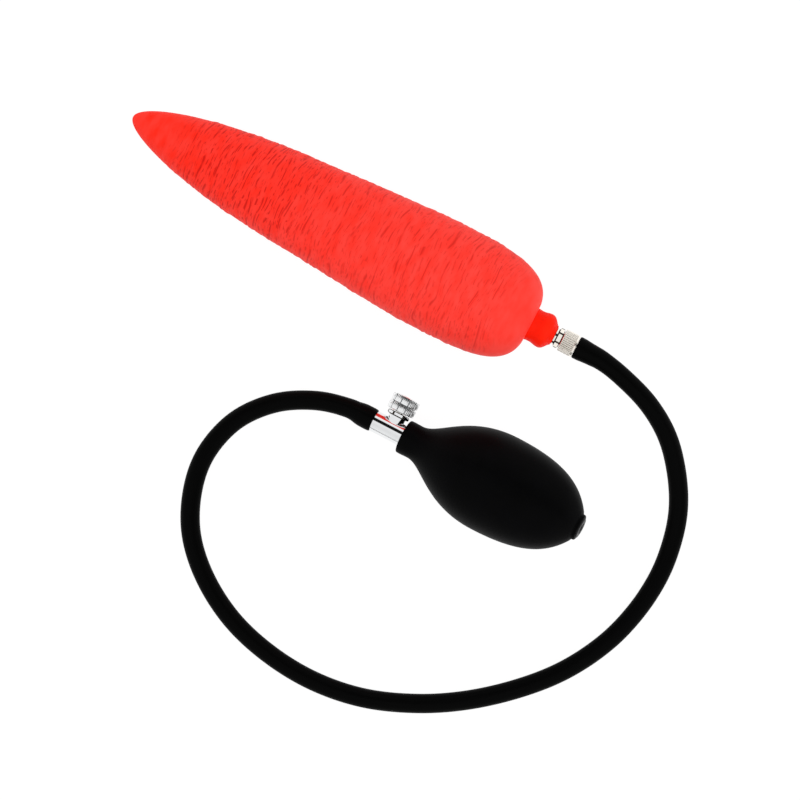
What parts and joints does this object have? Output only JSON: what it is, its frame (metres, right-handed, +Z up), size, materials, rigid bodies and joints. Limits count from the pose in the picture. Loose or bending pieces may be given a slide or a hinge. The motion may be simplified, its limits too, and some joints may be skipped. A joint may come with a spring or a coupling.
{
  "type": "hand pump with inflatable rubber bladder",
  "caption": "Rubber squeeze-bulb hand pump with a release valve, a hose and a screw coupling that carries a long, tapered, wrinkled rubber bladder for it to inflate.",
  "frame": {"origin": "on the surface that the object lies on, under the middle of the box of everything except the hose", "axes": "+X along the bladder from its tip to its neck, +Z up from the surface, +Y to the left of +X, on the release knob's side of the pump"},
  "size_m": [0.3302, 0.2327, 0.0546],
  "materials": {
    "red_rubber": "satin latex rubber, finely wrinkled",
    "neck_rubber": "smooth satin rubber",
    "seal_rubber": "matt rubber",
    "hose_rubber": "satin extruded rubber",
    "bulb_rubber": "satin moulded rubber",
    "nickel": "nickel plated, turned",
    "chrome": "polished chrome plate",
    "steel": "bright steel",
    "black_plastic": "matt moulded plastic"
  },
  "bodies": {
    "pump": {"hose": "hose_rubber", "hose_tail": "nickel", "snap_ring": "steel", "valve_body": "chrome", "gland_nut": "chrome", "gland_washer": "nickel", "stem_seal": "seal_rubber", "check_seat": "nickel", "check_spring": "steel", "bulb": "bulb_rubber", "inlet_housing": "black_plastic", "inlet_cage": "black_plastic"},
    "coupling_nut": {"coupling_nut": "nickel"},
    "bladder": {"bladder": "red_rubber", "bladder_neck": "neck_rubber", "neck_fitting": "nickel", "coupling_seal": "seal_rubber"},
    "release_stem": {"release_stem": "nickel"},
    "release_knob": {"release_knob": "chrome"},
    "check_ball": {"check_ball": "steel"},
    "inlet_ball": {"inlet_ball": "steel"}
  },
  "joints": [
    {"name": "nut_turn", "type": "hinge", "parent": "pump", "child": "coupling_nut", "pos_m": [0.094, 0.0365, 0.0271], "axis": [1, 0, 0], "range_deg": [0, 1805]},
    {"name": "bladder_unscrew", "type": "slide", "parent": "pump", "child": "bladder", "axis": [-1, 0, 0], "range_m": [0, 0.00375]},
    {"name": "release_lift", "type": "slide", "parent": "pump", "child": "release_stem", "axis": [0, 1, 0], "range_m": [0, 0.0014]},
    {"name": "release_turn", "type": "hinge", "parent": "release_stem", "child": "release_knob", "pos_m": [0.0375, -0.026, 0.0147], "axis": [0, 1, 0], "range_deg": [0, 722]},
    {"name": "check_ball_lift", "type": "slide", "parent": "pump", "child": "check_ball", "axis": [-0.9848, 0, -0.1736], "range_m": [0, 0.0008], "stiffness_N_per_m": 10, "springref_m": -0.0006, "deforming": ["check_spring"]},
    {"name": "inlet_ball_drop", "type": "slide", "parent": "pump", "child": "inlet_ball", "axis": [-0.9848, 0, -0.1736], "range_m": [0, 0.001]}
  ],
  "couplings": [
    {"joint": "nut_turn", "follows": "bladder_unscrew", "rad_per_m": 8377.6},
    {"joint": "release_turn", "follows": "release_lift", "rad_per_m": 8976}
  ]
}
